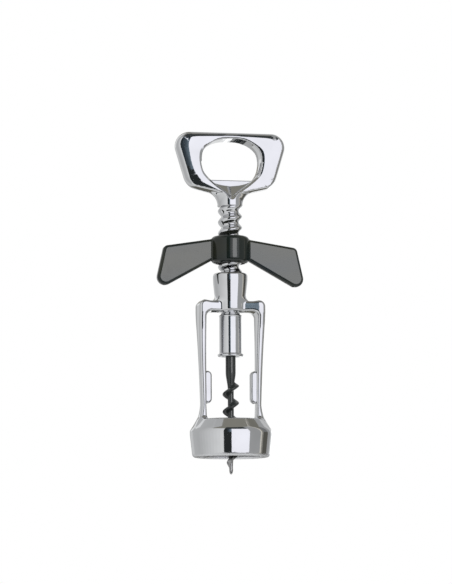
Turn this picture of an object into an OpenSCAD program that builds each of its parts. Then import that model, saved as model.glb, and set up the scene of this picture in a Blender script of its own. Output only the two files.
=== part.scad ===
// Bell corkscrew: a bell frame with two legs, a threaded spindle with a ring
// handle, a wing nut that pulls the spindle up, and a worm in a stop sleeve.
// Z runs up the axis, the worm's tip is at z = 0, and X runs along the wings.

/* [Frame] */
// Height of the bell's rim over the worm's tip
rim_z = 8.4; // [6:0.1:14]
// Height of the bell
bell_h = 18.4; // [16:0.1:24]
// Radius of the bell where it is widest
bell_r = 20.3; // [19:0.1:24]
// Height over the rim where the bell is widest
belt_h = 11.4; // [9:0.1:13]
// Radius of the curve from the bell's wall into its upper cone
belt_r = 4.5; // [2:0.1:6]
// Radius of the bell at its rim
rim_r = 19.2; // [18.6:0.1:22]
// Radius of the bell at its top edge
bell_top_r = 16.3; // [15:0.1:18]
// Radius of the mouth that takes the bottle's lip
mouth_r = 15.6; // [14.5:0.1:16.5]
// Depth of the mouth, up to the seat for the bottle's lip
mouth_depth = 13.6; // [10:0.1:15]
// Radius of the hole over the seat, which the cork passes
throat_r = 12.4; // [11.5:0.1:13.5]
// Height of the window between the legs, from bell to shoulder
window_h = 53.9; // [45:0.1:60]
// Radius of the window's two upper corners
window_corner_r = 3; // [1.5:0.1:5]
// Distance from the axis to a leg's inner face at the top
leg_in_top = 13.1; // [12.8:0.1:15]
// Distance from the axis to a leg's inner face at the bottom
leg_in_low = 12.6; // [12.6:0.1:14]
// Thickness of a leg at the top
leg_t_top = 3.4; // [2:0.1:4]
// Thickness of a leg at its thinnest, over the bell
leg_t_low = 2.4; // [1.6:0.1:3]
// Height over the bell where a leg's outward curve ends
ankle_h = 9; // [5:0.1:14]
// Depth of a leg from front to back at the shoulders
leg_d_top = 13.8; // [11:0.1:14.4]
// Depth of a leg from front to back three quarters up
leg_d_mid = 10; // [7:0.1:12]
// Depth of a leg from front to back over the bell
leg_d_low = 6; // [5.6:0.1:9]
// Height of the shoulders that join the legs to the collar
shoulder_h = 5.3; // [4:0.1:8]
// Radius of the shoulders' outer corners
shoulder_r = 2.8; // [1:0.1:4]
// Height of the collar, from the window to its top face
collar_h = 19; // [14:0.1:24]
// Radius of the collar at its top
collar_top_r = 8.6; // [8:0.1:10]
// Radius of the collar at the shoulders
collar_low_r = 7.6; // [7.5:0.1:9]

/* [Cork grips] */
// Height of a cork grip
grip_h = 16.2; // [10:0.1:20]
// Height of a grip's lower end over the bell
grip_lift = 8.1; // [5:0.1:12]
// How far a grip stands out of the leg
grip_proud = 3; // [2:0.1:4.5]
// Thickness of a grip from front to back
grip_t = 4.4; // [2:0.1:5]
// Depth of the slot in the leg that holds a grip
grip_slot = 0.8; // [0.4:0.1:1.2]
// Radius of a grip's two free corners
grip_corner_r = 2.4; // [0.5:0.1:3]

/* [Thread] */
// Radius over the thread's crests
thread_r = 6; // [5.5:0.05:6.5]
// Depth of the thread
thread_depth = 1.65; // [1:0.05:1.8]
// Rise of the thread in one turn
thread_pitch = 5.6; // [4:0.1:7]
// Turn of the thread about the axis, in degrees
thread_start = 30; // [0:5:355]

/* [Sleeve] */
// Height of the sleeve's lower end over the worm's tip
sleeve_z = 58.2; // [52:0.1:62]
// Height of the sleeve
sleeve_h = 21.8; // [16:0.1:22]
// Outer radius of the sleeve
sleeve_r = 5.4; // [5.1:0.05:5.6]
// Radius of the flange that stops the frame
flange_r = 6.4; // [6.3:0.05:8]
// Thickness of the flange
flange_t = 1.2; // [0.8:0.1:3]
// Radius of the rolled lip at the sleeve's top
lip_r = 5.7; // [5.6:0.05:5.9]
// Wall of the sleeve
sleeve_wall = 1.05; // [0.7:0.05:1.1]

/* [Worm] */
// Radius of the worm's plain shank
shank_r = 2.5; // [2:0.05:2.8]
// Radius of the worm's core
core_r = 1.5; // [1.2:0.05:2]
// Radius over the worm's flight
flight_r = 4.1; // [3.5:0.05:5]
// Rise of the flight in one turn
flight_pitch = 8.6; // [7:0.1:11]
// Height where the flight has run out into the shank
flight_top = 46; // [36:0.5:52]
// Turn of the flight about the axis, in degrees
flight_start = 315; // [0:5:355]
// Depth of the socket that holds the shank in the spindle
worm_socket_h = 15; // [10:0.5:18]
// Radius of the cross pins
pin_r = 0.9; // [0.6:0.05:1.1]

/* [Wing nut] */
// Gap between the collar and the nut, as the tool lies in the hand
nut_gap = 5; // [2:0.1:8]
// Radius of the nut's hub
hub_r = 9.6; // [9.2:0.1:12]
// Height of the nut's hub
hub_h = 13.5; // [11:0.1:18]
// Height of a wing where it leaves the hub
wing_root_h = 9; // [6:0.1:11]
// Distance from the axis to a wing's upper corner
wing_top_x = 34; // [28:0.5:40]
// Distance from the axis to a wing's outermost point
wing_reach = 36.9; // [30:0.1:44]
// How far a wing's upper corner lies below the hub's top
wing_drop = 5; // [2:0.1:8]
// How far a wing's lowest point lies below the hub's top
wing_low_drop = 24.8; // [16:0.1:30]
// Thickness of a wing
wing_t = 5; // [3:0.1:6]
// Radius of a wing's upper corner
wing_top_corner_r = 2.6; // [1.5:0.1:4]
// Radius of a wing's lower corner
wing_low_corner_r = 4; // [2:0.1:5]

/* [Handle] */
// Bare thread between the nut and the handle's neck
thread_above_nut = 14.9; // [10:0.1:20]
// Radius of the neck
neck_r = 6.25; // [6.1:0.05:8]
// Height from the neck's lower end to the top of the ring
handle_h = 37.2; // [32:0.1:44]
// Width of the handle
handle_w = 55.4; // [48:0.1:60]
// Thickness of the handle
handle_t = 12; // [9:0.1:12.4]
// Radius of the handle's upper corners
handle_top_corner_r = 7; // [6.3:0.1:9]
// Radius of the handle's lower corners
handle_low_corner_r = 8; // [6.3:0.1:9]
// Distance from the axis to the centre of a lower corner
handle_low_x = 15.6; // [12:0.1:18]
// Height of a lower corner's centre over the neck's lower end
handle_low_h = 16.7; // [15:0.1:20]
// Half of the opening's width
opening_a = 15.1; // [14:0.1:17]
// Half of the opening's height
opening_b = 11.4; // [11:0.1:13]
// Thickness of the bar over the opening
top_bar = 3.9; // [2:0.1:5]
// Width of the shallow bevel round the opening at the front
opening_bevel = 1.4; // [0.5:0.1:2]
// Height of the cap lifter's tongue over the opening's lowest point
tongue_h = 3.7; // [2:0.1:4]
// Thickness of the cap lifter's tongue
tongue_t = 2.6; // [1.5:0.1:4]
// Height of the scoop's foot over the neck's lower end
scoop_foot_h = 3.4; // [3:0.1:6]
// Depth of the spindle's end in the neck
plug_h = 5.4; // [3:0.1:6]

/* [Fits] */
// Gap all round where a piece turns or slides in another
running_gap = 0.08; // [0.02:0.01:0.1]
// Gap between the nut's thread and the spindle's
thread_gap = 0.25; // [0.15:0.05:0.4]
// Gap between two pieces that stop each other
stop_gap = 0.1; // [0.05:0.05:0.3]

/* [Hidden] */
$fn = 64;
eps = 0.01;
far = 100;

// Heights along the axis
bell_top_z = rim_z + bell_h;
seat_z = rim_z + mouth_depth;
window_z = bell_top_z + window_h;
shoulder_z = window_z + shoulder_h;
collar_z = window_z + collar_h;
nut_z = collar_z + nut_gap;
nut_top_z = nut_z + hub_h;
neck_z = nut_top_z + thread_above_nut;
handle_top_z = neck_z + handle_h;
sleeve_top_z = sleeve_z + sleeve_h;

// Spindle: it ends in a tail that the sleeve turns on, with a groove for the sleeve's lip
root_r = thread_r - thread_depth;
bore_r = thread_r + running_gap;
tail_r = sleeve_r - sleeve_wall - running_gap;
tail_z = sleeve_z + 0.3;
groove_r = tail_r - 0.45;
lip_h = 1.1;
groove_z = sleeve_top_z - lip_h - stop_gap;
thread_low_z = sleeve_top_z + 2 * stop_gap;
plug_r = root_r - 0.15;
worm_pin_z = tail_z + 0.75 * worm_socket_h;

// Thrust washer in the underside of the nut
washer_r = 7.1;
washer_t = 0.8;
washer_proud = 0.1;
washer_bore_r = thread_r + 0.2;

// Ring of the handle
opening_z = handle_top_z - top_bar - opening_b;
ring_edge_r = handle_t / 2;
ring_foot_z = neck_z + 5.4;

// Colours as they look in daylight
chrome = [0.80, 0.81, 0.83];
black_plastic = [0.09, 0.10, 0.10];
black_steel = [0.17, 0.19, 0.19];
bare_steel = [0.62, 0.62, 0.63];

// Points on an arc about a centre, from one angle to another
function arc(centre, r, from, to, steps = 8) =
    [for (i = [0:steps]) let (a = from + (to - from) * i / steps) centre + r * [cos(a), sin(a)]];

// A number between 0 and 1 that rises smoothly as x goes from low to high
function ease(x, low, high) =
    let (t = min(1, max(0, (x - low) / (high - low)))) t * t * (3 - 2 * t);

// A row of points and its mirror image in the axis, as one closed outline
function mirrored(points) =
    concat(points, [for (i = [len(points) - 1:-1:0]) [-points[i].x, points[i].y]]);

// A right-handed screw. Its radius is given for each angle off the crest, from
// 0 to 180, and each height, and its rows of points follow the crest
module screw(low, high, pitch, start, sides, radius) {
    rings = ceil(sides * (high - low) / pitch);
    function height(i) = low + (high - low) * i / rings;
    function corner(i, phase) = let (
        z = height(i),
        a = start + 360 * z / pitch + phase,
        r = radius(min(phase, 360 - phase), z))
        [r * cos(a), r * sin(a), z];
    points = [for (i = [0:rings], j = [0:sides - 1]) corner(i, 360 * j / sides)];
    skin = [for (i = [0:rings - 1], j = [0:sides - 1])
        let (a = i * sides + j, b = i * sides + (j + 1) % sides)
        each [[a, a + sides, b], [b, a + sides, b + sides]]];
    foot = [for (j = [0:sides - 1]) j];
    head = [for (j = [sides - 1:-1:0]) rings * sides + j];
    polyhedron(points, concat([foot], skin, [head]), convexity = 10);
}

// The rounded thread of the spindle, grown by a gap for the nut
module thread(low, high, gap = 0) {
    screw(low, high, thread_pitch, thread_start, 16, function(phase, z)
        root_r + gap + thread_depth * (0.5 + 0.5 * cos(phase)));
}

// A flat plate that stands in the XZ plane, centred on the axis
module upright_plate(depth) {
    rotate([90, 0, 0]) linear_extrude(depth, center = true) children();
}

// Frame

module bell_outside() {
    edge_r = 1.4;
    wall_lean = 6;
    cone_lean = 38;
    top_bevel = 0.4;
    edge = [rim_r - edge_r, rim_z + edge_r];
    belt = [bell_r - belt_r, rim_z + belt_h];
    rotate_extrude() polygon(concat(
        [[0, rim_z]],
        arc(edge, edge_r, -90, -wall_lean),
        arc(belt, belt_r, -wall_lean, cone_lean),
        [[bell_top_r, bell_top_z - top_bevel], [bell_top_r - top_bevel, bell_top_z]],
        [[0, bell_top_z]]
    ));
}

module bell_inside() {
    bevel = 0.8;
    seat_rise = 1.4;
    rotate_extrude() polygon([
        [0, rim_z - 1], [mouth_r + bevel + 1, rim_z - 1], [mouth_r + bevel, rim_z],
        [mouth_r, rim_z + bevel], [mouth_r, seat_z], [throat_r, seat_z + seat_rise],
        [throat_r, bell_top_z + eps], [0, bell_top_z + eps]
    ]);
}

// How far the legs run down into the bell's wall
leg_sink = 4.5;

// Both legs and both shoulders as they look from the front
module arch_front() {
    foot_z = bell_top_z - leg_sink;
    low_x = leg_in_low + leg_t_low;
    top_x = leg_in_top + leg_t_top;
    ankle = [for (i = [0:6]) let (t = i / 6)
        [low_x + (bell_top_r - low_x) * pow(1 - t, 2), bell_top_z + ankle_h * t]];
    fillet_r = 1.4;
    difference() {
        polygon(mirrored(concat(
            [[bell_top_r, foot_z]],
            ankle,
            arc([top_x - shoulder_r, shoulder_z - shoulder_r], shoulder_r, 0, 90),
            arc([collar_low_r + fillet_r, shoulder_z + fillet_r], fillet_r, 270, 180),
            [[root_r, shoulder_z + fillet_r]]
        )));
        polygon(mirrored(concat(
            [[leg_in_low, foot_z - 1], [leg_in_low, bell_top_z]],
            arc([leg_in_top - window_corner_r, window_z - window_corner_r], window_corner_r, 0, 90)
        )));
    }
}

// The legs and shoulders from the side, which limits their depth
module arch_side() {
    heel = 1;
    heel_h = 8;
    straight_h = 0.25 * window_h;
    mid_h = 0.82 * window_h;
    polygon(mirrored([
        [leg_d_low / 2 + heel, bell_top_z - leg_sink], [leg_d_low / 2, bell_top_z + heel_h],
        [leg_d_low / 2, bell_top_z + straight_h], [leg_d_mid / 2, bell_top_z + mid_h],
        [leg_d_top / 2, window_z], [leg_d_top / 2, collar_z]
    ]));
}

// The shoulders from above: their faces lean back towards the collar
module arch_above() {
    lean = 11;
    knee_x = leg_in_top + 0.3;
    half_d = leg_d_top / 2;
    middle_d = half_d - knee_x * tan(lean);
    polygon(mirrored([[0.5, middle_d], [knee_x, half_d], [far / 2, half_d],
        [far / 2, -half_d], [knee_x, -half_d], [0.5, -middle_d]]));
}

module arch() {
    intersection() {
        upright_plate(far) arch_front();
        rotate([0, 0, 90]) upright_plate(far) arch_side();
        linear_extrude(2 * far) arch_above();
    }
}

module collar_outside() {
    edge_r = 1.2;
    low_bevel = 0.4;
    waist_z = shoulder_z + 2;
    crown_z = collar_z - 3.5;
    rotate_extrude() polygon(concat(
        [[0, window_z], [collar_low_r - low_bevel, window_z], [collar_low_r, window_z + low_bevel]],
        [[collar_low_r, waist_z], [collar_top_r, crown_z]],
        arc([collar_top_r - edge_r, collar_z - edge_r], edge_r, 0, 90),
        [[0, collar_z]]
    ));
}

module frame() {
    color(chrome) difference() {
        union() {
            bell_outside();
            arch();
            collar_outside();
        }
        bell_inside();
        translate([0, 0, window_z - 1]) cylinder(h = collar_h + 2, r = bore_r);
        for (side = [-1, 1]) grip_blade(side);
    }
}

// Cork grips

// Distance from the axis to a leg's inner face at a height
function leg_in(z) =
    leg_in_low + (leg_in_top - leg_in_low) * (z - bell_top_z) / (window_z - window_corner_r - bell_top_z);

module grip_blade(side) {
    low = bell_top_z + grip_lift;
    high = low + grip_h;
    root_x = leg_in(low) + grip_slot;
    tip_x = leg_in(low) - grip_proud;
    upright_plate(grip_t) polygon([for (p = concat(
        [[root_x, high], [root_x, low]],
        arc([tip_x + grip_corner_r, low + grip_corner_r], grip_corner_r, 270, 180),
        arc([tip_x + grip_corner_r, high - grip_corner_r], grip_corner_r, 180, 90)
    )) [side * p.x, p.y]]);
}

module cork_grip_left() {
    color(chrome) grip_blade(-1);
}

module cork_grip_right() {
    color(chrome) grip_blade(1);
}

// Wing nut and its thrust washer

module hub() {
    round_r = 2.4;
    round_h = 2;
    top_corner = [hub_r - round_r, nut_top_z - round_h];
    low_corner = [hub_r - round_r, nut_z + round_h];
    function quarter(centre, from) = [for (p = arc([0, 0], 1, from, from + 90))
        centre + [p.x * round_r, p.y * round_h]];
    rotate_extrude() polygon(concat(
        [[0, nut_z]], quarter(low_corner, -90), quarter(top_corner, 0), [[0, nut_top_z]]
    ));
}

// One wing from the front, from inside the hub to its two outer corners
module wing_outline() {
    root_x = 6;
    root_z = nut_top_z - 1;
    slope = 3;
    hull() {
        translate([wing_top_x - wing_top_corner_r, nut_top_z - wing_drop - wing_top_corner_r])
            circle(wing_top_corner_r, $fn = 32);
        translate([wing_reach - wing_low_corner_r, nut_top_z - wing_low_drop + wing_low_corner_r])
            circle(wing_low_corner_r, $fn = 32);
        foot_z = root_z - wing_root_h;
        polygon([[0, root_z], [root_x, root_z], [root_x, foot_z], [0, foot_z + slope]]);
    }
}

module wing_nut() {
    edge = 1.2;
    color(black_plastic) difference() {
        union() {
            hub();
            for (side = [0, 1]) mirror([side, 0, 0]) {
                upright_plate(wing_t - 2 * edge) wing_outline();
                upright_plate(wing_t) offset(delta = -edge) wing_outline();
            }
        }
        thread(nut_z - 0.5, nut_top_z + 0.5, thread_gap);
        translate([0, 0, nut_z - 1]) cylinder(h = 1 + washer_t - washer_proud, r = washer_r + running_gap);
    }
}

module thrust_washer() {
    color(black_plastic) translate([0, 0, nut_z - washer_proud]) difference() {
        cylinder(h = washer_t - eps, r = washer_r);
        translate([0, 0, -1]) cylinder(h = washer_t + 2, r = washer_bore_r);
    }
}

// Spindle, sleeve and worm

module cross_pin(z, length) {
    translate([0, 0, z]) rotate([0, 90, 0]) cylinder(h = length, r = pin_r, center = true);
}

module spindle() {
    color(chrome) difference() {
        union() {
            thread(thread_low_z, neck_z);
            translate([0, 0, neck_z - 1]) cylinder(h = plug_h + 1, r = plug_r);
            translate([0, 0, groove_z - 1]) cylinder(h = thread_low_z - groove_z + 2, r = groove_r);
            translate([0, 0, tail_z]) cylinder(h = groove_z - tail_z, r = tail_r);
        }
        translate([0, 0, tail_z - 1]) cylinder(h = worm_socket_h + 1, r = shank_r);
        cross_pin(worm_pin_z, 2 * sleeve_r);
        handle_pin_hole();
    }
}

module sleeve() {
    bore = tail_r + running_gap;
    roll = flange_t / 2;
    cone_h = 0.4;
    lip_z = sleeve_top_z - lip_h;
    color(chrome) rotate_extrude() polygon(concat(
        [[bore, sleeve_z]],
        arc([flange_r - roll, sleeve_z + roll], roll, -90, 90),
        [[sleeve_r, sleeve_z + flange_t], [sleeve_r, lip_z - 2 * cone_h]],
        [[lip_r, lip_z - cone_h], [lip_r, lip_z]],
        [[groove_r + 1, sleeve_top_z], [groove_r + running_gap, sleeve_top_z]],
        [[groove_r + running_gap, lip_z], [bore, lip_z]]
    ));
}

// Radius of the worm at an angle off the crest and a height: a core that
// swells into the shank, and a sharp flight that runs down to the point
function worm_radius(phase, z) = let (
    point_r = 0.25,
    swell = (shank_r - 0.05 - core_r) * ease(z, flight_top - 8, flight_top + 3),
    core = point_r + (core_r - point_r) * ease(z, -2, 9) + swell,
    reach = (flight_r - core_r) * ease(z, 0, 15) * (1 - ease(z, flight_top - 5, flight_top)),
    flank = 90)
    core + reach * max(0, 1 - phase / flank);

module worm() {
    blend_z = flight_top + 4;
    color(black_steel) difference() {
        union() {
            screw(0, blend_z, flight_pitch, flight_start, 16, function(phase, z) worm_radius(phase, z));
            translate([0, 0, blend_z - 1]) cylinder(h = tail_z + worm_socket_h - blend_z + 1, r = shank_r);
        }
        cross_pin(worm_pin_z, 2 * sleeve_r);
    }
}

module worm_pin() {
    color(bare_steel) cross_pin(worm_pin_z, 2 * groove_r);
}

// Handle

// The opening's outline: between an ellipse and a soft hexagon
module opening_outline(grow = 0) {
    squareness = 2.25;
    function soft(v) = sign(v) * pow(abs(v), 2 / squareness);
    polygon([for (i = [0:47]) let (t = 7.5 * i)
        [(opening_a + grow) * soft(cos(t)), (opening_b + grow) * soft(sin(t))]]);
}

// A round-edged disc that stands in the XZ plane
module disc(x, z, r) {
    flat_r = 0.3;
    edge_r = min(ring_edge_r, r - flat_r);
    translate([x, 0, z]) rotate([90, 0, 0]) rotate_extrude($fn = 32) polygon(concat(
        [[0, -edge_r]], arc([r - edge_r, 0], edge_r, -90, 90), [[0, edge_r]]
    ));
}

module ring_outside() {
    top_x = handle_w / 2 - handle_top_corner_r;
    foot_x = 2;
    foot_r = ring_edge_r + 0.3;
    hull() for (side = [-1, 1]) {
        disc(side * top_x, handle_top_z - handle_top_corner_r, handle_top_corner_r);
        disc(side * handle_low_x, neck_z + handle_low_h, handle_low_corner_r);
        disc(side * foot_x, ring_foot_z + foot_r, foot_r);
    }
}

// The round neck runs up into the ring, with a web to both sides under the ring
module neck() {
    web_t = 11;
    web_x = 5;
    web_z = neck_z + 3.4;
    barrel_top_z = ring_foot_z + ring_edge_r;
    rotate_extrude() polygon([
        [0, neck_z], [neck_r, neck_z], [neck_r, barrel_top_z],
        [neck_r - 1, barrel_top_z + 1], [0, barrel_top_z + 1]
    ]);
    hull() {
        translate([0, 0, web_z]) cylinder(h = 1, r = web_t / 2, $fn = 32);
        for (side = [-1, 1]) disc(side * web_x, barrel_top_z + 1, web_t / 2);
    }
}

// The scoop at the front, under the opening, that lets a cap's edge in
module scoop() {
    floor_y = -2.4;
    floor_z = opening_z - opening_b;
    foot_x = 1.1;
    knee = [5.4, 4.1];
    rim = [13.2, 10.8];
    foot_z = neck_z + scoop_foot_h;
    intersection() {
        upright_plate(far) polygon(mirrored([
            [foot_x, foot_z], [knee.x, foot_z + knee.y], [rim.x, foot_z + rim.y], [rim.x - 2, opening_z]
        ]));
        rotate([0, 0, 90]) upright_plate(far) polygon([
            [floor_y, floor_z], [-neck_r, foot_z], [-2 * neck_r, foot_z - 2],
            [-2 * neck_r, opening_z], [floor_y, opening_z]
        ]);
    }
}

// Hole from the back through the neck into the spindle's end
module handle_pin_hole() {
    inner_y = -plug_r / 2;
    translate([0, inner_y, neck_z + plug_h / 2]) rotate([-90, 0, 0])
        cylinder(h = neck_r - inner_y, r = pin_r);
}

module handle() {
    front = -ring_edge_r;
    bevel_depth = 0.35 * opening_bevel;
    color(chrome) difference() {
        union() {
            ring_outside();
            neck();
        }
        difference() {
            translate([0, 0, opening_z]) upright_plate(far) opening_outline();
            translate([-far / 2, ring_edge_r - tongue_t, 0])
                cube([far, far, opening_z - opening_b + tongue_h]);
        }
        translate([0, 0, opening_z]) hull() {
            translate([0, front - 0.5, 0]) upright_plate(1) opening_outline(opening_bevel);
            translate([0, front + bevel_depth, 0]) upright_plate(eps) opening_outline();
        }
        scoop();
        translate([0, 0, neck_z - 1]) cylinder(h = plug_h + 1, r = plug_r);
        handle_pin_hole();
    }
}

module handle_pin() {
    color(bare_steel) intersection() {
        handle_pin_hole();
        cylinder(h = 2 * far, r = neck_r);
    }
}

frame();
cork_grip_left();
cork_grip_right();
thrust_washer();
wing_nut();
sleeve();
spindle();
worm();
worm_pin();
handle();
handle_pin();
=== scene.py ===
# Bell corkscrew: the looks. Lengths are in millimetres until a mesh is made
import math

import bpy
import numpy as np
from mathutils import Matrix, Vector


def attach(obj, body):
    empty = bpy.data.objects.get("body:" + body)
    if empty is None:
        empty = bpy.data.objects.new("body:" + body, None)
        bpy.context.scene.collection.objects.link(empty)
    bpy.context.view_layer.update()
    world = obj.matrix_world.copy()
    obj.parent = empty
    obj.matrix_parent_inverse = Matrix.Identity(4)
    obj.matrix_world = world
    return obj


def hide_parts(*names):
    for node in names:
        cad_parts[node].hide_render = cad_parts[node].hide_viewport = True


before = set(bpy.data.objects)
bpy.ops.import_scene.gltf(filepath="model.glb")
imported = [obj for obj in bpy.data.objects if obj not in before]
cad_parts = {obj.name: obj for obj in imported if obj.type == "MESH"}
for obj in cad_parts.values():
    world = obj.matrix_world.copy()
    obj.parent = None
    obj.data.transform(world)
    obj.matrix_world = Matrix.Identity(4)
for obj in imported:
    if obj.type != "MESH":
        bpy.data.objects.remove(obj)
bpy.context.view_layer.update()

MM = 0.001
MICRON = 0.000001

# How much a cast face leans, so that it comes out of its mould
draft_slope = 0.06

# Frame
rim_z = 8.4
bell_top_z = 26.8
seat_z = 22.0
window_z = 80.7
shoulder_z = 86.0
collar_z = 99.7
mouth_r = 15.6
throat_r = 12.4
bore_r = 6.08
stop_r = 7

# Spindle and sleeve
thread_root_r = 4.35
thread_depth = 1.65
thread_pitch = 5.6
thread_start = 30
thread_low_z = 80.2
sleeve_z = 58.2
sleeve_top_z = 80.0
tail_z = 58.5
tail_r = 4.27
groove_r = 3.82
neck_z = 133.1

# Worm
shank_r = 2.5
core_r = 1.5
flight_r = 4.1
flight_pitch = 8.6
flight_top = 46
flight_start = 315

# Wing nut
nut_z = 104.7
nut_top_z = 118.2
hub_r = 9.6
wing_t = 5.0
thread_gap = 0.25
recess_r = 7.18
recess_h = 0.7

# Handle
handle_top_z = 170.3
ring_t = 12.0
neck_r = 6.25
hole_foot_z = 143.6

# Where the camera stands, in degrees round the object, and how far off. The photograph shows a
# millimetre as view_scale pixels, and its long side has view_pixels. The camera is aimed a little
# beside the middle, by aim_left and aim_up
view_azimuth = -11
view_elevation = -6.4
view_distance = 1300
view_scale = 2.015
view_pixels = 584
middle_z = 85
aim_left = 2.13
aim_up = 5.46
view_lean = -0.25


# Distances. Each is negative inside a shape and positive outside

def round_and(a, b, r):
    """Where both shapes are, with their meeting edge rounded"""
    return np.minimum(np.maximum(a, b), -r) + np.hypot(np.maximum(a + r, 0), np.maximum(b + r, 0))


def round_or(a, b, r):
    """Where either shape is, with a fillet between them"""
    return -round_and(-a, -b, r)


def polygon(x, y, points):
    """Distance to a closed outline"""
    points = np.array(points, float)
    after = np.roll(points, -1, axis=0)
    nearest = np.full(np.shape(x), np.inf)
    inside = np.zeros(np.shape(x), bool)
    for (ax, ay), (bx, by) in zip(points, after):
        ex = bx - ax
        ey = by - ay
        px = x - ax
        py = y - ay
        t = np.clip((px * ex + py * ey) / (ex * ex + ey * ey), 0, 1)
        nearest = np.minimum(nearest, (px - t * ex) ** 2 + (py - t * ey) ** 2)
        if ey != 0:
            inside ^= ((ay > y) != (by > y)) & (x < ax + ex * (y - ay) / ey)
    return np.where(inside, -1, 1) * np.sqrt(nearest)


def mirrored(points):
    """A row of points and its mirror image in the axis, as one closed outline"""
    return list(points) + [(-x, z) for x, z in reversed(points)]


def smoothed(points):
    """A closed outline with its corners cut off"""
    cut = []
    for (ax, ay), (bx, by) in zip(points, points[1:] + points[:1]):
        for t in (0.25, 0.75):
            cut.append((ax + t * (bx - ax), ay + t * (by - ay)))
    return cut


def arc(cx, cy, r, start, end, steps=8):
    """Points on an arc about a centre"""
    angles = np.radians(np.linspace(start, end, steps + 1))
    return [(cx + r * math.cos(a), cy + r * math.sin(a)) for a in angles]


def ease(x, low, high):
    """A number from 0 to 1 that rises smoothly as x goes from low to high"""
    t = np.clip((x - low) / (high - low), 0, 1)
    return t * t * (3 - 2 * t)


def ramp(x, low, high, low_value, high_value):
    """A number that runs evenly between two values"""
    t = np.clip((x - low) / (high - low), 0, 1)
    return low_value + (high_value - low_value) * t


# Meshes

def gradient(distance, p):
    """Which way a distance grows at each point"""
    h = 0.02
    out = np.empty_like(p)
    for axis in range(3):
        step = np.zeros(3)
        step[axis] = h
        out[:, axis] = distance(*(p + step).T) - distance(*(p - step).T)
    return out / (2 * h)


def sampled(distance, axes, skip=4):
    """The distance at every grid point near the surface, and a far value elsewhere"""
    step = axes[0][1] - axes[0][0]
    coarse = distance(*np.meshgrid(*(a[::skip] for a in axes), indexing="ij"))
    nearest = [
        np.minimum((np.arange(len(a)) + skip // 2) // skip, n - 1)
        for a, n in zip(axes, coarse.shape)
    ]
    values = coarse[np.ix_(*nearest)]
    near = np.nonzero(np.abs(values) < 1.5 * skip * step)
    values[near] = distance(*(a[i] for a, i in zip(axes, near)))
    return values


def surface(distance, low, high, step):
    """Vertices and quads of the surface where a distance is zero"""
    axes = [np.arange(a, b + step, step) for a, b in zip(low, high)]
    d = sampled(distance, axes)
    inside = d < 0
    n = np.array(d.shape) - 1
    corners = sum(
        inside[i:n[0] + i, j:n[1] + j, k:n[2] + k].astype(np.int8)
        for i in (0, 1) for j in (0, 1) for k in (0, 1)
    )
    active = (corners > 0) & (corners < 8)
    number = np.full(active.shape, -1)
    number[active] = np.arange(active.sum())
    cells = np.argwhere(active)
    total = np.zeros((len(cells), 3))
    count = np.zeros(len(cells))
    quads = []
    for axis in range(3):
        u, v = [other for other in range(3) if other != axis]
        unit = np.eye(3, dtype=int)[axis]
        for i in (0, 1):
            for j in (0, 1):
                offset = np.zeros(3, int)
                offset[u] = i
                offset[v] = j
                a = d[tuple((cells + offset).T)]
                b = d[tuple((cells + offset + unit).T)]
                cross = (a < 0) != (b < 0)
                t = np.where(cross, a / np.where(cross, a - b, 1), 0)
                total += np.where(cross[:, None], offset + t[:, None] * unit, 0)
                count += cross
        first = np.moveaxis(inside, axis, 0)
        change = first[:-1] != first[1:]
        edges = np.argwhere(change[:, 1:-1, 1:-1]) + [0, 1, 1]
        table = np.moveaxis(number, axis, 0)
        ring = [(-1, -1), (0, -1), (0, 0), (-1, 0)]
        quad = np.stack([table[edges[:, 0], edges[:, 1] + i, edges[:, 2] + j] for i, j in ring], axis=1)
        outward = first[:-1][tuple(edges.T)]
        flip = outward if axis == 1 else ~outward
        quad[flip] = quad[flip][:, ::-1]
        quads.append(quad)
    vertices = np.array(low) + step * (cells + total / count[:, None])
    return vertices, np.concatenate(quads)


def build_mesh(name, vertices, faces, normals=None, sharp=35):
    """A mesh object. Its edges are smooth, or follow the given normals"""
    mesh = bpy.data.meshes.new(name)
    if isinstance(faces, np.ndarray):
        faces = faces.tolist()
    mesh.from_pydata((np.asarray(vertices) * MM).tolist(), [], faces)
    mesh.polygons.foreach_set("use_smooth", [True] * len(mesh.polygons))
    if normals is None:
        mesh.set_sharp_from_angle(angle=math.radians(sharp))
    else:
        mesh.normals_split_custom_set_from_vertices(normals.tolist())
    mesh.update()
    piece = bpy.data.objects.new(name, mesh)
    bpy.context.scene.collection.objects.link(piece)
    return piece


def carved(name, distance, low, high, step):
    """A piece whose surface is where a distance is zero"""
    vertices, faces = surface(distance, low, high, step)
    for _ in range(4):
        g = gradient(distance, vertices)
        off = distance(*vertices.T) / np.maximum((g * g).sum(axis=1), 0.2)
        vertices = vertices - np.clip(off, -step / 3, step / 3)[:, None] * g
    g = gradient(distance, vertices)
    normals = g / np.maximum(np.linalg.norm(g, axis=1), 1e-6)[:, None]
    return build_mesh(name, vertices, faces, normals)


def supported(profile):
    """A closed profile with a point close to each end of its long lines, which keeps them straight"""
    points = []
    for (ar, az), (br, bz) in zip(profile, profile[1:] + profile[:1]):
        points.append((ar, az))
        length = math.hypot(br - ar, bz - az)
        if length > 1:
            for t in (0.15 / length, 1 - 0.15 / length):
                points.append((ar + t * (br - ar), az + t * (bz - az)))
    return points


def bands(pairs, sides):
    """Quads that join pairs of closed rings of points. A pair holds the numbers of its two rings"""
    faces = []
    for a, b in pairs:
        for j in range(sides):
            k = (j + 1) % sides
            faces.append((a * sides + j, a * sides + k, b * sides + k, b * sides + j))
    return faces


def revolved(name, profile, sides=128):
    """A piece turned about the axis from a closed profile of (radius, height)"""
    profile = supported(profile)
    turn = 2 * np.pi * np.arange(sides) / sides
    rows = [np.column_stack([r * np.cos(turn), r * np.sin(turn), np.full(sides, z)]) for r, z in profile]
    count = len(profile)
    faces = bands([(i, (i + 1) % count) for i in range(count)], sides)
    return build_mesh(name, np.concatenate(rows), faces)


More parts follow.
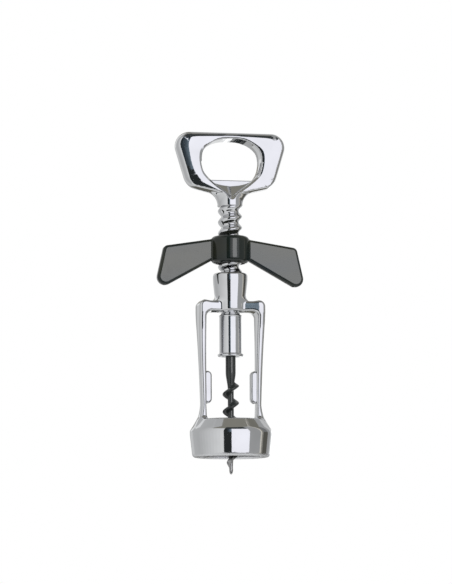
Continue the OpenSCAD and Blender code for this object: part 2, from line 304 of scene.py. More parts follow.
def screwed(name, low, high, pitch, start, radius, sides=72, rows_per_turn=48):
    """A right-handed screw, whose rows of points follow its crest. The radius is a function of the
    angle from the crest, in degrees, and of the height"""
    rows = int(math.ceil(rows_per_turn * (high - low) / pitch))
    z = np.linspace(low, high, rows + 1)[:, None]
    phase = (360 * np.arange(sides) / sides)[None, :]
    a = np.radians(start + 360 * z / pitch + phase)
    r = radius(np.minimum(phase, 360 - phase), z)
    vertices = np.stack([r * np.cos(a), r * np.sin(a), z + 0 * a], axis=-1).reshape(-1, 3)
    faces = bands([(i, i + 1) for i in range(rows)], sides)
    faces.append(tuple(range(sides - 1, -1, -1)))
    faces.append(tuple(range(rows * sides, (rows + 1) * sides)))
    return build_mesh(name, vertices, faces)


def joined(name, pieces):
    """One object out of several"""
    with bpy.context.temp_override(active_object=pieces[0], selected_editable_objects=pieces):
        bpy.ops.object.join()
    pieces[0].name = name
    pieces[0].data.name = name
    return pieces[0]


# Shapes

def bell_distance(r, z):
    """The bell's outside: a wall, a rounded belt and a cone, with a flat rim below"""
    belt_r = 4.48
    belt = (15.8, 19.8)
    wall_foot = (13.56, -0.2)
    cone_top = (3.35, 35.45)
    body = polygon(r, z, [belt, cone_top, (-20, cone_top[1]), (-20, wall_foot[1]), wall_foot]) - belt_r
    body = round_and(body, rim_z - z, 1.4)
    return round_and(body, z - bell_top_z - 0.3, 0.5)


def leg_depth(z):
    """Half of a leg's depth, from front to back. It swells towards the shoulder and the bell"""
    slim = 2.95
    swell = 3.95
    swell_low = 40
    swell_high = 80
    t = np.clip((z - swell_low) / (swell_high - swell_low), 0, 1)
    foot = ramp(z, bell_top_z - 4, bell_top_z + 8, 1.6, 0)
    return slim + swell * t ** 2.4 + foot - 0.03 * np.maximum(z - swell_high, 0)


def arch_distance(x, y, z):
    """Both legs and both shoulders, before the window is cut"""
    side = np.abs(x)
    depth = leg_depth(z)
    draft = draft_slope * (depth - np.abs(y))
    ankle_h = 9
    ankle = np.clip((bell_top_z + ankle_h - z) / ankle_h, 0, 2)
    outer = ramp(z, 34, 76, 15.0, 16.5) + 1.4 * ankle ** 2 + draft
    dip = 0.4 * ease(side, 14, 10.5)
    body = round_and(side - outer, z - shoulder_z + dip, 3)
    body = np.maximum(body, bell_top_z - 4.5 - z)
    lean = 0.194 * np.clip(13.4 - side, 0, 10) * ease(z, window_z - 9, window_z - 2)
    return round_and(body, np.abs(y) - (depth - lean), 1.6)


def window_distance(x, y, z):
    """The opening between the legs, under the shoulders"""
    side = np.abs(x)
    depth = leg_depth(z)
    draft = draft_slope * np.maximum(depth - np.abs(y), 0)
    inner = ramp(z, 40, 80, 12.5, 13.05) - draft
    return round_and(side - inner, z - window_z + draft, 3)


def collar_distance(r, z):
    """The collar that the nut bears on. It widens upward"""
    waist = shoulder_z + 2
    crown = collar_z - 3.5
    outer = 7.5 + 0.35 * ease(z, waist - 4, waist + 3) + 0.7 * ease(z, waist - 1, crown + 1)
    body = round_and(r - outer, z - collar_z, 1.4)
    return np.maximum(body, window_z - 6 - z)


def frame_distance(x, y, z):
    """The whole frame: bell, legs, shoulders and collar, less the window, the mouth and the bore"""
    r = np.hypot(x, y)
    fillet = 0.9 + 2.1 * ease(z, shoulder_z - 2, shoulder_z + 0.5)
    solid = round_or(arch_distance(x, y, z), collar_distance(r, z), fillet)
    solid = round_and(solid, -window_distance(x, y, z), 1.25)
    solid = round_or(solid, bell_distance(r, z), 2.2)
    mouth = round_and(r - mouth_r, z - seat_z, 0.8)
    throat = np.maximum(r - throat_r, z - bell_top_z - 8)
    cut = round_or(mouth, throat, 0.6)
    solid = round_and(solid, -cut, 0.8)
    bore_foot = window_z - 4 - z
    bore = np.maximum(r - bore_r, bore_foot)
    solid = round_and(solid, -bore, 0.5)
    # The flat face round the bore that stops the sleeve's flange
    stop = np.maximum(np.maximum(r - stop_r, z - window_z - 0.08), bore_foot)
    return np.maximum(solid, -stop)


def grip_distance(side):
    """The distance of the cork grip on one side, as a function. Side is -1 or 1"""
    low = 34.9
    high = 51.1
    tip = 9.7
    root = 14
    corner = 2.4

    def distance(x, y, z):
        dx = np.maximum(tip - side * x, side * x - root)
        dz = np.abs(z - (low + high) / 2) - (high - low) / 2
        front = round_and(dx, dz, corner)
        return round_and(front, np.abs(y) - 2.2, 1.2)
    return distance


def thread_radius(phase, _z):
    """The spindle's thread, whose section is a wave"""
    return thread_root_r + thread_depth * (0.5 + 0.5 * np.cos(np.radians(phase)))


def nut_distance(x, y, z):
    """The hub with its two wings, less the thread and the recess for the washer"""
    r = np.hypot(x, y)
    side = np.abs(x)
    middle = (nut_z + nut_top_z) / 2
    hub = round_and(r - hub_r, np.abs(z - middle) - (nut_top_z - nut_z) / 2, 2.3)
    corner = 2.6
    tip_r = 4
    upper = (34 - corner, nut_top_z - 5 - corner)
    lower = (36.9 - tip_r, nut_top_z - 24.8 + tip_r)
    outline = [(-4, nut_top_z - 1 - corner), (6, nut_top_z - 1 - corner), upper]
    outline += arc(lower[0], lower[1], tip_r - corner, 10, -120)
    outline += [(6, nut_top_z - 10 + corner), (-4, nut_top_z - 7 + corner)]
    blade = polygon(side, z, outline) - corner
    wing = round_and(blade, np.abs(y) - wing_t / 2, 1.5)
    solid = round_or(hub, wing, 0.7)
    turn = np.arctan2(y, x) - math.radians(thread_start) - 2 * np.pi * z / thread_pitch
    bore = (r - (thread_root_r + thread_gap + thread_depth * (0.5 + 0.5 * np.cos(turn)))) * 0.8
    recess = np.maximum(r - recess_r, z - nut_z - recess_h)
    return np.maximum(round_and(solid, -bore, 0.3), -recess)


def ring_outline(x, z):
    """Distance to the ring as it looks from the front, and how far a point faces up"""
    corner = 6.3
    outline = mirrored([
        (2, neck_z + 5.4 + corner), *arc(15.6, neck_z + 16.7, 8 - corner, -72, -14, 16),
        *arc(20.7, handle_top_z - 7, 7 - corner, -14, 90, 16)
    ])
    return polygon(x, z, outline) - corner


def flat_outline(x, z):
    """Distance to the flat part of the ring's front and back, inside the facet that goes round it"""
    outline = smoothed(mirrored([
        (1.5, 138.8), (5.1, 140.2), (10.2, 142.6), (13.0, 144.0), (16.2, 146.4), (18.5, 149.9),
        (20.2, 154.5), (21.1, 159.5), (21.6, 163.1), (21.0, 166.3), (19.0, 167.2), (10, 167.5), (1, 167.8)
    ]))
    return polygon(x, z, outline)


def ring_distance(x, y, z):
    """The ring: a rounded edge, then a broad shallow facet, then a flat face, on both sides. The
    facet's slope goes from steep at the edge to gentle at the flat face"""
    outline = ring_outline(x, z)
    h = 0.05
    up = (ring_outline(x, z + h) - ring_outline(x, z - h)) / (2 * h)
    top = ease(up, 0.75, 1)
    foot = ease(-up, 0.4, 0.95)
    low = ease(-up, 0.3, 0.65)
    t = -outline
    depth = np.abs(y)
    half = ring_t / 2
    # The rounded edge is an ellipse, cap_t by about cap_h. It ends where it is as steep as the facet
    cap_t = 2.15 - 0.2 * top - 1.05 * foot
    cap_h = 5.2
    steep = 0.277 + 0.233 * top + 0.06 * low
    gentle = 0.194 + 0.093 * top + 0.075 * low
    q = steep * cap_t / cap_h
    u = q / np.sqrt(1 + q * q)
    edge_t = cap_t * (1 - u)
    run = flat_outline(x, z)
    facet_t = np.maximum(run + t - edge_t, 0.4)
    cap_y = (half - (gentle + steep) / 2 * facet_t) / np.sqrt(1 - u * u)
    a = np.minimum(t - cap_t, 0) / cap_t
    b = depth / cap_y
    k = np.sqrt(a * a + b * b) + 1e-9
    cap = k * (k - 1) / np.sqrt((a / cap_t) ** 2 + (b / cap_y) ** 2 + 1e-12)
    run = (run + np.sqrt(run ** 2 + 0.06)) / 2
    run = np.minimum(run, facet_t + 0.1)
    slope = gentle + (steep - gentle) * run / facet_t
    rise = (gentle + slope) / 2 * run
    facet = (depth - half + rise) / np.sqrt(1 + slope * slope)
    return np.where(t < edge_t, cap, facet)


def hole_distance(x, z):
    """Distance to the opening, as it runs through the ring"""
    outline = smoothed(mirrored([
        (1.5, hole_foot_z - 0.1), (5, 143.9), (9, 145.1), (12.2, 147.3), (14.4, 150.9), (15.3, 155.8),
        (14.6, 160.6), (12.2, 163.4), (8.8, 165.4), (4.8, 166.6), (1.5, 166.8)
    ]))
    return polygon(x, z, outline)


def rim_distance(x, z):
    """Distance to the outline that the opening's bevel and the scoop share at the front"""
    outline = smoothed(mirrored([
        (0.9, 136.4), (3.1, 138.4), (5.4, 140.4), (8.9, 142.9), (12.9, 146.4), (15.3, 149.2), (16.2, 152),
        (16.8, 156), (16.5, 160.2), (14.9, 162.6), (12.3, 164.5), (8.7, 166.5), (4.6, 167.7), (1.2, 167.85)
    ]))
    return polygon(x, z, outline)


def scoop_distance(x, y, z, rim):
    """The hollow at the front, under the opening, that lets a cap's edge in"""
    steep = 0.62
    bend = 0.006
    hollow_r = 80
    rise = np.clip(z - neck_z - 3.4, -2, 8)
    floor = -ring_t / 2 + steep * rise - bend * rise ** 2 - x * x / (2 * hollow_r)
    slope = steep - 2 * bend * rise
    inside = np.maximum(rim + 1.2, z - 155)
    return round_and(inside, (y - floor) / np.sqrt(1 + slope ** 2 + (x / hollow_r) ** 2), 0.5)


def handle_distance(x, y, z):
    """The ring and its neck, less the opening, its bevel and the scoop, with the tongue in the opening"""
    r = np.hypot(x, y)
    barrel = round_and(r - neck_r, neck_z - z, 0.5)
    barrel = np.maximum(barrel, z - (neck_z + 11))
    fillet = 1 + 4 * ease(ring_t / 2 - np.abs(y), 0, 4.5)
    solid = round_or(ring_distance(x, y, z), barrel, fillet)
    rim = rim_distance(x, z)
    tilt = np.radians(19.6 + 1.5 * ease(z, 158, 163) + 20 * ease(z, 151, 145))
    bevel = (rim + (y + ring_t / 2) / np.tan(tilt)) * np.sin(tilt)
    solid = round_and(solid, -bevel, 0.12)
    hole = hole_distance(x, z)
    through = hole + draft_slope * np.maximum(ring_t / 2 - np.abs(y), 0) * ease(np.abs(x), 9, 14)
    solid = round_and(solid, -through, 0.4)
    solid = round_and(solid, -scoop_distance(x, y, z, rim), 0.35)
    tongue = round_and(ring_t / 2 - 2.6 - y, z - (hole_foot_z + 3.6), 0.5)
    tongue = np.maximum(round_and(tongue, y - ring_t / 2 + 0.1, 0.5), hole - 1.5)
    return np.minimum(solid, tongue)


def worm_radius(phase, z):
    """The worm: a rounded point, a core that swells into the shank, and a sharp flight"""
    point_r = 0.92
    point_h = 2.2
    swell = (shank_r - core_r) * ease(z, flight_top - 4, flight_top + 4.5)
    nose = point_r * np.sqrt(np.clip(1 - (1 - np.minimum(z, point_h) / point_h) ** 2, 0.003, 1))
    core = nose + (core_r - point_r) * ease(z, 3, 13) + swell
    reach = (flight_r - core_r) * ease(z, 0.5, 11.5) * (1 - ease(z, flight_top - 2.5, flight_top + 1))
    ridge = 0.5 + 0.5 * np.cos(np.pi * np.minimum(phase / 88, 1))
    return core + reach * ridge ** 0.9


def sleeve_profile():
    """The sleeve's half section, with a rolled flange below and a lip in the spindle's groove above"""
    gap = 0.08
    bore = tail_r + gap
    outer = 5.48
    flange = 6.4
    roll = 0.7
    lip = sleeve_top_z - 1.1
    return [
        (bore, sleeve_z + 0.2), (bore + 0.2, sleeve_z),
        *arc(flange - roll, sleeve_z + roll, roll, -90, 90, 12),
        *arc(outer + 0.3, sleeve_z + 2 * roll + 0.3, 0.3, 270, 180, 5),
        (outer, lip - 1), *arc(outer - 0.1, lip - 0.55, 0.33, -50, 60, 6),
        (outer - 0.3, lip), (outer - 0.8, lip + 0.35),
        *arc(groove_r + 0.5, sleeve_top_z - 0.34, 0.34, -20, 90, 6),
        (groove_r + gap, sleeve_top_z), (groove_r + gap, lip), (bore, lip)
    ]


# Materials

def blank(name):
    """A material with one shader"""
    material = bpy.data.materials.new(name)
    material.use_nodes = True
    tree = material.node_tree
    tree.nodes.clear()
    shader = add(tree, "ShaderNodeBsdfPrincipled")
    out = add(tree, "ShaderNodeOutputMaterial")
    tree.links.new(shader.outputs["BSDF"], out.inputs["Surface"])
    return material, tree, shader


def add(tree, kind, inputs=None, **settings):
    """A new node with its inputs and settings"""
    node = tree.nodes.new(kind)
    for key, value in settings.items():
        setattr(node, key, value)
    for key, value in (inputs or {}).items():
        node.inputs[key].default_value = value
    return node


def noise(tree, scale, detail=3, stretch=(1, 1, 1), rough=0.5):
    """A noise that stays with the piece. The scale is in features per metre"""
    place = add(tree, "ShaderNodeTexCoord")
    mapping = add(tree, "ShaderNodeMapping", {"Scale": stretch})
    texture = add(tree, "ShaderNodeTexNoise", {"Scale": scale, "Detail": detail, "Roughness": rough})
    tree.links.new(place.outputs["Object"], mapping.inputs["Vector"])
    tree.links.new(mapping.outputs["Vector"], texture.inputs["Vector"])
    return texture.outputs["Fac"]


def spread(tree, factor, low, high, start=0.3, end=0.7):
    """A noise or a height as a number between two values"""
    ends = {"From Min": start, "From Max": end, "To Min": low, "To Max": high}
    node = add(tree, "ShaderNodeMapRange", ends)
    tree.links.new(factor, node.inputs["Value"])
    return node.outputs["Result"]


def tinted(tree, factor, low, high, start=0.3, end=0.7):
    """A noise as a colour between two colours"""
    node = add(tree, "ShaderNodeValToRGB")
    for element, place, colour in zip(node.color_ramp.elements, (start, end), (low, high)):
        element.position = place
        element.color = (*colour, 1)
    tree.links.new(factor, node.inputs["Fac"])
    return node.outputs["Color"]


def combined(tree, operation, a, b):
    """Two numbers made into one"""
    node = add(tree, "ShaderNodeMath", operation=operation)
    tree.links.new(a, node.inputs[0])
    tree.links.new(b, node.inputs[1])
    return node.outputs[0]


def point_height(tree):
    """How high a point is, in metres"""
    place = add(tree, "ShaderNodeTexCoord")
    split = add(tree, "ShaderNodeSeparateXYZ")
    tree.links.new(place.outputs["Object"], split.inputs["Vector"])
    return split.outputs["Z"]


def tint(tree, shader, factor, low, high):
    """Gives a shader a colour that varies between two colours"""
    tree.links.new(tinted(tree, factor, low, high), shader.inputs["Base Color"])


def roughen(tree, shader, factor, low, high):
    """Gives a shader a roughness that varies between two values"""
    tree.links.new(spread(tree, factor, low, high), shader.inputs["Roughness"])


def bumped(tree, shader, layers):
    """Bumps on a shader, each of a height in metres"""
    before = None
    for factor, height in layers:
        node = add(tree, "ShaderNodeBump", {"Strength": 1.0, "Distance": height})
        tree.links.new(factor, node.inputs["Height"])
        if before:
            tree.links.new(before, node.inputs["Normal"])
        before = node.outputs["Normal"]
    tree.links.new(before, shader.inputs["Normal"])


def chrome(name, ripple, rough=0.05, tone=1.0, dull_low=0, dull_high=0):
    """Chrome plate over a polished casting: slight ripples, fine scratches and dull spots. The ripples'
    height is in microns. Where two heights are given, it gets dull from the upper to the lower one"""
    material, tree, shader = blank(name)
    shader.inputs["Metallic"].default_value = 1
    low = tuple(tone * c for c in (0.585, 0.590, 0.600))
    high = tuple(tone * c for c in (0.640, 0.645, 0.660))
    tint(tree, shader, noise(tree, 90), low, high)
    smears = spread(tree, noise(tree, 160, 5), rough * 0.6, rough * 1.5)
    scratches = spread(tree, noise(tree, 500, 2, (6, 6, 0.35)), 0, rough * 0.7, 0.55, 0.75)
    roughness = combined(tree, "ADD", smears, scratches)
    if dull_high:
        rubbed = spread(tree, point_height(tree), 0.42, 0, dull_low * MM, dull_high * MM)
        roughness = combined(tree, "MAXIMUM", roughness, rubbed)
    tree.links.new(roughness, shader.inputs["Roughness"])
    bumped(tree, shader, [
        (noise(tree, 170, 2), ripple * MICRON),
        (noise(tree, 900, 2), ripple * 0.06 * MICRON),
    ])
    return material


def gloss_plastic(name):
    """Black moulded plastic, glossy, with a faint flow pattern and handling marks"""
    material, tree, shader = blank(name)
    tint(tree, shader, noise(tree, 45, 4, (0.6, 1, 1.6)), (0.002, 0.006, 0.008), (0.011, 0.012, 0.006))
    shader.inputs["IOR"].default_value = 1.45
    roughen(tree, shader, noise(tree, 260, 5), 0.06, 0.14)
    bumped(tree, shader, [(noise(tree, 60, 2), 12 * MICRON), (noise(tree, 1400, 2), 0.4 * MICRON)])
    return material


def washer_plastic(name):
    """Dull black plastic with a fine grain"""
    material, tree, shader = blank(name)
    tint(tree, shader, noise(tree, 400), (0.02, 0.02, 0.02), (0.045, 0.045, 0.045))
    roughen(tree, shader, noise(tree, 600, 4), 0.4, 0.6)
    bumped(tree, shader, [(noise(tree, 1500, 3), 6 * MICRON)])
    return material


def black_steel(name):
    """Steel with a glossy black coat, worn off at the point"""
    material, tree, shader = blank(name)
    jagged = spread(tree, noise(tree, 700, 4), -2.5 * MM, 2.5 * MM)
    ragged = combined(tree, "ADD", point_height(tree), jagged)
    worn = spread(tree, ragged, 1, 0, 5.5 * MM, 8.5 * MM)
    coat = tinted(tree, noise(tree, 330, 5, (1, 1, 0.5)), (0.008, 0.010, 0.010), (0.022, 0.025, 0.024))
    steel = tinted(tree, noise(tree, 900, 4), (0.20, 0.20, 0.20), (0.42, 0.42, 0.42))
    mix = add(tree, "ShaderNodeMix", data_type="RGBA")
    tree.links.new(worn, mix.inputs["Factor"])
    tree.links.new(coat, mix.inputs[6])
    tree.links.new(steel, mix.inputs[7])
    tree.links.new(mix.outputs[2], shader.inputs["Base Color"])
    tree.links.new(worn, shader.inputs["Metallic"])
    roughen(tree, shader, noise(tree, 700, 4), 0.10, 0.24)
    bumped(tree, shader, [(noise(tree, 800, 3, (1, 1, 2.5)), 8 * MICRON)])
    return material


def bare_steel(name):
    """Steel that was drawn through a die, with fine lines along it"""
    material, tree, shader = blank(name)
    shader.inputs["Metallic"].default_value = 1
    tint(tree, shader, noise(tree, 500, 3), (0.30, 0.30, 0.31), (0.46, 0.46, 0.47))
    roughen(tree, shader, noise(tree, 900, 4, (1, 8, 8)), 0.2, 0.38)
    bumped(tree, shader, [(noise(tree, 1600, 3, (1, 8, 8)), 3 * MICRON)])
    return material


# Pieces

def finish_piece(piece, body, node, material):
    """Gives a piece its material, and puts it on a body in place of a node"""
    piece.data.materials.clear()
    piece.data.materials.append(material)
    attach(piece, body)
    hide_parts(node)
    return piece


def make_frame():
    """The frame, whose plate is dull along the bell's rim and duller inside the bell"""
    piece = carved("bell_frame", frame_distance, (-21.5, -21.5, 7), (21.5, 21.5, 101), 0.42)
    plate = chrome("frame_plate", 22, dull_low=rim_z + 0.9, dull_high=rim_z + 1.9)
    finish_piece(piece, "frame", "frame", plate)
    piece.data.materials.append(chrome("mouth_plate", 14, 0.36, 1.1))
    for face in piece.data.polygons:
        x, y, z = face.center / MM
        if math.hypot(x, y) < mouth_r + 0.5 and z < bell_top_z:
            face.material_index = 1


def make_grips():
    """The two fins that hold the drawn cork"""
    material = chrome("grip_plate", 26, 0.09)
    for name, side in (("cork_grip_left", -1), ("cork_grip_right", 1)):
        low = (min(side * 9, side * 15), -3, 34)
        high = (max(side * 9, side * 15), 3, 52)
        piece = carved(name + "_blade", grip_distance(side), low, high, 0.3)
        finish_piece(piece, "frame", name, material)


def make_nut():
    """The black wing nut"""
    piece = carved("wing_nut_body", nut_distance, (-38, -10.5, 92), (38, 10.5, 119.5), 0.4)
    finish_piece(piece, "wing_nut", "wing_nut", gloss_plastic("nut_gloss"))


def make_handle():
    """The ring with its neck and cap lifter"""
    piece = carved("ring_handle", handle_distance, (-29, -7.5, 132), (29, 7.5, 171.5), 0.33)
    finish_piece(piece, "spindle", "handle", chrome("handle_plate", 17))


def make_spindle():
    """The threaded rod and its plain tail, with the groove for the sleeve's lip"""
    thread = screwed("spindle_thread", thread_low_z, neck_z + 0.3, thread_pitch, thread_start, thread_radius)
    tail = revolved("spindle_tail", [
        (0.01, tail_z), (tail_r - 0.3, tail_z), (tail_r, tail_z + 0.3), (tail_r, sleeve_top_z - 1.4),
        (groove_r, sleeve_top_z - 1.2), (groove_r, thread_low_z + 0.5), (0.01, thread_low_z + 0.5)
    ])
    piece = joined("spindle_rod", [thread, tail])
    finish_piece(piece, "spindle", "spindle", chrome("spindle_plate", 12, 0.05))


def make_sleeve():
    """The tube on the spindle's tail"""
    piece = revolved("stop_sleeve", sleeve_profile())
    finish_piece(piece, "sleeve", "sleeve", chrome("sleeve_plate", 60, 0.06))


def make_worm():
    """The worm with its flight, and the plain shank above it"""
    flight = screwed("worm_flight", 0, 52, flight_pitch, flight_start, worm_radius, 96, 64)
    shank = revolved("worm_shank", [(0.01, 51), (shank_r, 51), (shank_r, 73.4), (0.01, 73.4)], 72)
    piece = joined("worm_body", [flight, shank])
    finish_piece(piece, "spindle", "worm", black_steel("worm_black"))


def dress_small_nodes():
    """New materials for the washer and the pins, which keep the meshes of the solids"""
    washer = washer_plastic("washer_nylon")
    pin = bare_steel("pin_bare")
    for node, material in (("thrust_washer", washer), ("worm_pin", pin), ("handle_pin", pin)):
        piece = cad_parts[node]
        for slot in piece.material_slots:
            slot.material = material


# Studio

def direction(azimuth, elevation):
    """Which way a place lies from the object. Azimuth 0 is the front and grows to the right"""
    a = math.radians(azimuth)
    e = math.radians(elevation)
    return Vector((math.sin(a) * math.cos(e), -math.cos(a) * math.cos(e), math.sin(e)))


def make_camera():
    """The photograph's camera. The object stands a little off the middle of the picture, and leans"""
    back = direction(view_azimuth, view_elevation)
    right = direction(view_azimuth + 90, 0)
    up = back.cross(right)
    middle = Vector((0, 0, middle_z))
    aim = middle - aim_left * right + aim_up * up
    place = middle + view_distance * back
    data = bpy.data.cameras.new("camera")
    data.sensor_width = 36
    data.lens = view_scale * view_distance * data.sensor_width / view_pixels
    camera = bpy.data.objects.new("camera", data)
    camera.rotation_mode = "QUATERNION"
    camera.location = place * MM
    lean = Matrix.Rotation(math.radians(view_lean), 4, "Z").to_quaternion()
    camera.rotation_quaternion = (aim - place).to_track_quat("-Z", "Y") @ lean
    bpy.context.scene.collection.objects.link(camera)
    bpy.context.scene.camera = camera


def emission(name, colour, strength, mottle):
    """A material that glows, evenly or in soft patches"""
    material = bpy.data.materials.new(name)
    material.use_nodes = True
    tree = material.node_tree
    tree.nodes.clear()
    glow = add(tree, "ShaderNodeEmission", {"Color": (*colour, 1), "Strength": strength})
    if mottle:
        patches = spread(tree, noise(tree, 14, 3), strength * (1 - mottle), strength * (1 + mottle))
        tree.links.new(patches, glow.inputs["Strength"])
    out = add(tree, "ShaderNodeOutputMaterial")
    tree.links.new(glow.outputs["Emission"], out.inputs["Surface"])
    material.cycles.emission_sampling = "NONE"
    return material


def card(name, azimuth, elevation, colour, strength=1.0, mottle=0):
    """A card of the studio that only shows in reflections. Its angles are in degrees: azimuth from
    the camera's place, to the right, and elevation over the horizon"""
    distance = 1900
    tile = 5
    across = max(2, int((azimuth[1] - azimuth[0]) / tile))
    upward = max(2, int((elevation[1] - elevation[0]) / tile))
    turns = np.radians(np.linspace(*azimuth, across + 1) + view_azimuth)
    rises = np.radians(np.linspace(*elevation, upward + 1))
    vertices = []
    for rise in rises:
        for turn in turns:
            x = distance * math.sin(turn) * math.cos(rise)
            y = -distance * math.cos(turn) * math.cos(rise)
            vertices.append((x, y, middle_z + distance * math.sin(rise)))
    faces = []
    for i in range(upward):
        for j in range(across):
            k = i * (across + 1) + j
            faces.append((k, k + 1, k + across + 2, k + across + 1))
    piece = build_mesh(name, vertices, faces)
    piece.data.materials.append(emission(name, colour, strength, mottle))
    piece.visible_camera = False
    piece.visible_diffuse = False
    piece.visible_shadow = False
    piece.visible_transmission = False
    piece.visible_volume_scatter = False
    return piece


def make_cards():
    """The room that the chrome shows, laid out so that it looks as in the photograph"""
    white = (1.0, 1.0, 1.06)
    pale = (0.99, 1.0, 1.0)
    dark = (0.85, 0.97, 1.0)
    blue = (0.77, 1.0, 1.2)
    tan = (1.0, 0.96, 0.86)
    olive = (1.0, 0.97, 0.84)
    low = -40
    high = 62

    # Below and behind the object
    card("card_table", (-180, 180), (-90, low), pale, 0.9)
    card("card_sweep_low_left", (-180, -160), (low, -14), olive, 0.16)
    card("card_sweep_left", (-180, -173), (-14, -8), dark, 0.03)
    card("card_sweep_left_near", (-173, -160), (-14, -8), pale, 0.5)
    card("card_back_left_low", (-180, -172), (-8, -1), pale, 0.85)
    card("card_back_left_near", (-172, -160), (-8, -1), pale, 0.45)
    card("card_back_left", (-180, -160), (-1, 12), pale, 0.45)
    card("card_back_left_high", (-180, -160), (12, high), olive, 0.33)
    card("card_sweep_low_right", (160, 180), (low, -10), olive, 0.16)
    card("card_sweep_right", (160, 180), (-10, -6.4), pale, 1.6)
    card("card_sweep_right_near", (160, 172), (-6.4, 6), pale, 1.6)
    card("card_sweep_right_far", (172, 180), (-6.4, 6), pale, 0.85)
    card("card_back_right", (160, 180), (6, high), pale, 0.55)

    # On the left
    card("card_left_far", (-160, -135), (low, 8), pale, 0.74)
    card("card_left_far_high", (-160, -135), (8, high), pale, 0.95)
    card("card_left_near", (-135, -100), (low, high), pale, 0.62)
    step = 9.94
    for i in range(8):
        start = -100 + step * i
        card("card_left_%d" % i, (start, start + step), (low, 46), pale, 0.655 + 0.045 * i)
    card("card_left_high", (-100, -69), (46, high), pale, 0.65)
    card("card_left_front_high", (-69, -20.5), (46, high), olive, 0.31)

    # In front, behind the camera
    card("card_dark", (-20.5, 2), (low, 2), dark, 0.035)
    card("card_dark_left", (-20.5, -10), (2, 38), dark, 0.035)
    step = 2
    for i in range(6):
        start = -10 + step * i
        strength = 0.05 + 0.012 * i + 0.010 * i ** 2
        card("card_blue_%d" % i, (start, start + step), (2, 38), blue, strength, 0.35)
    card("card_over_softbox", (-20.5, 55), (38, high), dark, 0.06)
    card("card_softbox", (2, 55), (-14, 38), white, 1.33)
    card("card_softbox_low", (16, 46), (-24, -14), white, 1.33)
    card("card_under_corner", (2, 16), (low, -14), dark, 0.05)
    card("card_under_softbox", (16, 46), (low, -24), dark, 0.05)
    card("card_under_right", (46, 55), (low, -14), olive, 0.18)

    # On the right
    card("card_grey", (55, 93), (low, high), pale, 0.46)
    card("card_tan_bright", (93, 98), (low, high), tan, 0.85)
    card("card_tan", (98, 104), (low, high), tan, 0.36)
    card("card_olive", (104, 127), (low, 7.6), olive, 0.13)
    card("card_olive_middle", (104, 127), (7.6, 38), pale, 0.25)
    card("card_olive_high", (104, 127), (38, high), olive, 0.25)
    card("card_right_near", (127, 145), (low, high), pale, 0.45)
    card("card_right_far", (145, 160), (low, high), pale, 0.7)

    # Above
    card("card_roof_front", (-67, 98), (high, 90), olive, 0.31)
    card("card_roof_left", (-110, -67), (high, 90), pale, 0.60)
    card("card_roof_right", (98, 125), (high, 90), pale, 0.45)
    card("card_roof_back_left", (-180, -110), (high, 90), pale, 0.30)
    card("card_roof_back_right", (125, 180), (high, 90), pale, 0.30)


def make_floor():
    """A pale paper floor. Its size and depth are in metres"""
    data = bpy.data.meshes.new("floor")
    size = 6
    depth = 0.1
    corners = [(-size, -size), (size, -size), (size, size), (-size, size)]
    data.from_pydata([(x, y, -depth) for x, y in corners], [], [(0, 1, 2, 3)])
    floor = bpy.data.objects.new("floor", data)
    bpy.context.scene.collection.objects.link(floor)
    material, tree, shader = blank("floor_paper")
    tint(tree, shader, noise(tree, 30, 4), (0.80, 0.80, 0.80), (0.84, 0.84, 0.84))
    shader.inputs["Roughness"].default_value = 0.9
    shader.inputs["Specular IOR Level"].default_value = 0.1
    data.materials.append(material)
    floor.visible_glossy = False


def hang(name, data, place, target):
    """A lamp at a place, turned to a point. Both are in metres"""
    lamp = bpy.data.objects.new(name, data)
    lamp.location = place
    lamp.rotation_mode = "QUATERNION"
    lamp.rotation_quaternion = (Vector(target) - Vector(place)).to_track_quat("-Z", "Y")
    bpy.context.scene.collection.objects.link(lamp)
    return lamp


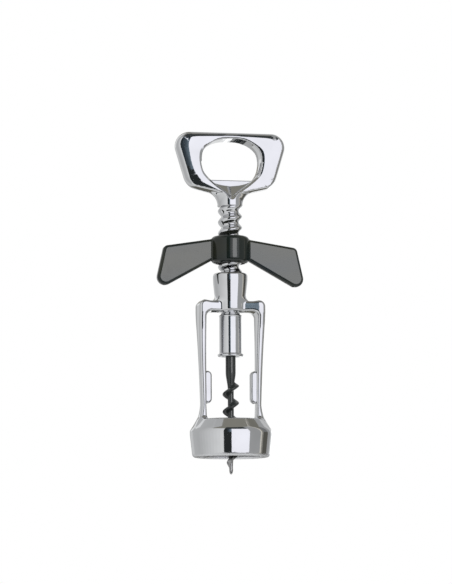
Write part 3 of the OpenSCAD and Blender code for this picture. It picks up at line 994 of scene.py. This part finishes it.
def make_lights():
    """Three soft lamps, which light the black pieces and the floor. The chrome shows the cards instead"""
    for name, place, power in (
        ("key", (1.1, -1.4, 1.5), 17),
        ("fill", (-1.6, -1.0, 1.1), 9),
        ("back", (0.3, 1.7, 1.4), 9),
    ):
        data = bpy.data.lights.new(name, "AREA")
        data.shape = "DISK"
        data.size = 1.2
        data.energy = power
        lamp = hang(name, data, place, (0, 0, 0.08))
        lamp.visible_glossy = False


def make_black_lamp():
    """The softbox shows brighter in the black pieces than a screen shows it in chrome"""
    data = bpy.data.lights.new("softbox_for_black", "AREA")
    data.shape = "RECTANGLE"
    data.size = 1.66
    data.size_y = 1.62
    strength = 4.1
    data.energy = strength * math.pi * data.size * data.size_y
    # The lamp hangs in front of the softbox card, at its middle
    azimuth = 28.5
    elevation = 12
    distance = 1.85
    middle = Vector((0, 0, middle_z * MM))
    place = middle + distance * direction(azimuth + view_azimuth, elevation)
    lamp = hang("softbox_for_black", data, place, middle)
    group = bpy.data.collections.new("black_pieces")
    for name in ("wing_nut_body", "worm_body"):
        group.objects.link(bpy.data.objects[name])
    lamp.light_linking.receiver_collection = group


def make_world():
    """White behind the object, also in its reflections, and a plain pale light on it"""
    world = bpy.data.worlds.new("studio")
    world.use_nodes = True
    tree = world.node_tree
    tree.nodes.clear()
    ray = add(tree, "ShaderNodeLightPath")
    seen = combined(tree, "MAXIMUM", ray.outputs["Is Camera Ray"], ray.outputs["Is Glossy Ray"])
    shown = combined(tree, "MAXIMUM", seen, ray.outputs["Is Transmission Ray"])
    level = add(tree, "ShaderNodeMapRange", {"To Min": 0.62, "To Max": 1.0})
    back = add(tree, "ShaderNodeBackground", {"Color": (1, 1, 1, 1)})
    out = add(tree, "ShaderNodeOutputWorld")
    tree.links.new(shown, level.inputs["Value"])
    tree.links.new(level.outputs["Result"], back.inputs["Strength"])
    tree.links.new(back.outputs["Background"], out.inputs["Surface"])
    bpy.context.scene.world = world


make_frame()
make_grips()
make_nut()
make_handle()
make_spindle()
make_sleeve()
make_worm()
dress_small_nodes()
make_camera()
make_cards()
make_floor()
make_lights()
make_black_lamp()
make_world()
bpy.context.scene.view_settings.view_transform = "Standard"
